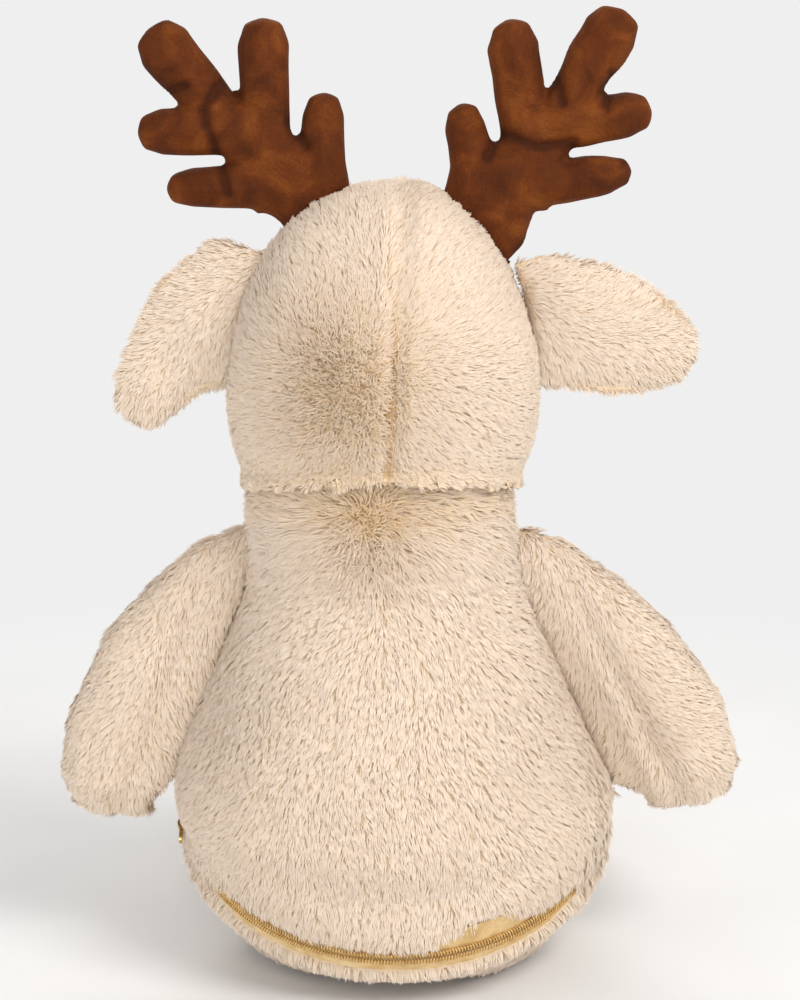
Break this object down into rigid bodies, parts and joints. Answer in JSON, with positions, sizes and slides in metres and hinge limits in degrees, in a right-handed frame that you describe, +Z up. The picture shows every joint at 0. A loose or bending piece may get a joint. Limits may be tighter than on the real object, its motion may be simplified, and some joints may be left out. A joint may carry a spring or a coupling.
{
  "type": "plush deer",
  "caption": "Seated plush deer with soft antlers, drooping ears, jointed soft limbs and a zip round the lower back for its stuffing pods.",
  "frame": {"origin": "centre of the flat seat under the torso, on the surface that the toy sits on", "axes": "+Z up; the toy faces -Y; its left side is +X"},
  "size_m": [0.3533, 0.2844, 0.4788],
  "materials": {
    "fur": "long pile plush, 8 to 10 mm, warm beige",
    "short_fur": "short pile plush, cream",
    "lining": "short nap, light tan",
    "antler_fabric": "short nap velour, chestnut brown",
    "stuffing": "polyester fibre in a white cloth bag",
    "zip_tape": "woven satin tape, gold",
    "zip_coil": "moulded coil, old gold",
    "zip_metal": "plated, satin gold",
    "eye_plastic": "polished black",
    "washer_plastic": "plain white",
    "nose_fabric": "dark brown velour"
  },
  "bodies": {
    "torso": {"torso_back_left": "fur", "torso_back_right": "fur", "tummy_panel": "short_fur", "base_panel": "fur", "body_pod": "stuffing", "zip_tape_upper": "zip_tape", "zip_tape_lower": "zip_tape", "zip_coil_upper": "zip_coil", "zip_coil_lower": "zip_coil", "zip_end_stop": "zip_metal", "zip_top_stop_upper": "zip_metal", "zip_top_stop_lower": "zip_metal"},
    "head": {"head_back_left": "fur", "head_back_right": "fur", "face_panel": "short_fur", "muzzle": "short_fur", "nose": "nose_fabric", "head_pod": "stuffing", "eye_left": "eye_plastic", "eye_right": "eye_plastic", "eye_washer_left": "washer_plastic", "eye_washer_right": "washer_plastic"},
    "ear_left": {"ear_left_back": "fur", "ear_left_lining": "lining"},
    "ear_right": {"ear_right_back": "fur", "ear_right_lining": "lining"},
    "antler_left": {"antler_left_back": "antler_fabric", "antler_left_front": "antler_fabric", "antler_left_stuffing": "stuffing"},
    "antler_right": {"antler_right_back": "antler_fabric", "antler_right_front": "antler_fabric", "antler_right_stuffing": "stuffing"},
    "arm_left": {"arm_left_outer": "fur", "arm_left_inner": "fur", "arm_left_stuffing": "stuffing"},
    "arm_right": {"arm_right_outer": "fur", "arm_right_inner": "fur", "arm_right_stuffing": "stuffing"},
    "leg_left": {"leg_left_outer": "fur", "leg_left_inner": "fur", "leg_left_sole": "lining", "leg_left_stuffing": "stuffing"},
    "leg_right": {"leg_right_outer": "fur", "leg_right_inner": "fur", "leg_right_sole": "lining", "leg_right_stuffing": "stuffing"},
    "slider": {"zip_slider": "zip_metal"},
    "pull": {"zip_pull": "zip_metal"}
  },
  "joints": [
    {"name": "head_nod", "type": "hinge", "parent": "torso", "child": "head", "pos_m": [0.007, 0, 0.215], "axis": [0.9988, 0, 0.048], "range_deg": [-8, 15], "stiffness_Nm_per_rad": 4},
    {"name": "ear_left_flap", "type": "hinge", "parent": "head", "child": "ear_left", "pos_m": [0.07575, 0, 0.33644], "axis": [-0.3706, 0, 0.9288], "range_deg": [-25, 25], "stiffness_Nm_per_rad": 0.15},
    {"name": "ear_right_flap", "type": "hinge", "parent": "head", "child": "ear_right", "pos_m": [-0.06708, 0, 0.32958], "axis": [-0.2798, 0, -0.96], "range_deg": [-25, 25], "stiffness_Nm_per_rad": 0.15},
    {"name": "antler_left_tip", "type": "hinge", "parent": "head", "child": "antler_left", "pos_m": [0.03899, 0, 0.38273], "axis": [0.9995, 0, -0.0305], "range_deg": [-18, 18], "stiffness_Nm_per_rad": 0.5},
    {"name": "antler_right_tip", "type": "hinge", "parent": "head", "child": "antler_right", "pos_m": [-0.04491, 0, 0.3787], "axis": [0.9897, 0, -0.1435], "range_deg": [-18, 18], "stiffness_Nm_per_rad": 0.5},
    {"name": "arm_left_lift", "type": "hinge", "parent": "torso", "child": "arm_left", "pos_m": [0.08, 0, 0.236], "axis": [0, -1, 0], "range_deg": [0, 60]},
    {"name": "arm_right_lift", "type": "hinge", "parent": "torso", "child": "arm_right", "pos_m": [-0.066, 0, 0.232], "axis": [0, 1, 0], "range_deg": [0, 60]},
    {"name": "leg_left_lift", "type": "hinge", "parent": "torso", "child": "leg_left", "pos_m": [0.05, -0.046, 0.067], "axis": [-0.9659, -0.2588, 0], "range_deg": [0, 30]},
    {"name": "leg_right_lift", "type": "hinge", "parent": "torso", "child": "leg_right", "pos_m": [-0.05, -0.046, 0.067], "axis": [-0.9659, 0.2588, 0], "range_deg": [0, 30]},
    {"name": "zip_travel", "type": "hinge", "parent": "torso", "child": "slider", "pos_m": [0, -0.00607, 0.07484], "axis": [0, 0.4384, 0.8988], "range_deg": [0, 163]},
    {"name": "pull_flip", "type": "hinge", "parent": "slider", "child": "pull", "pos_m": [0.10944, 0.00863, 0.06767], "axis": [0, -0.4384, -0.8988], "range_deg": [-6, 145]}
  ]
}
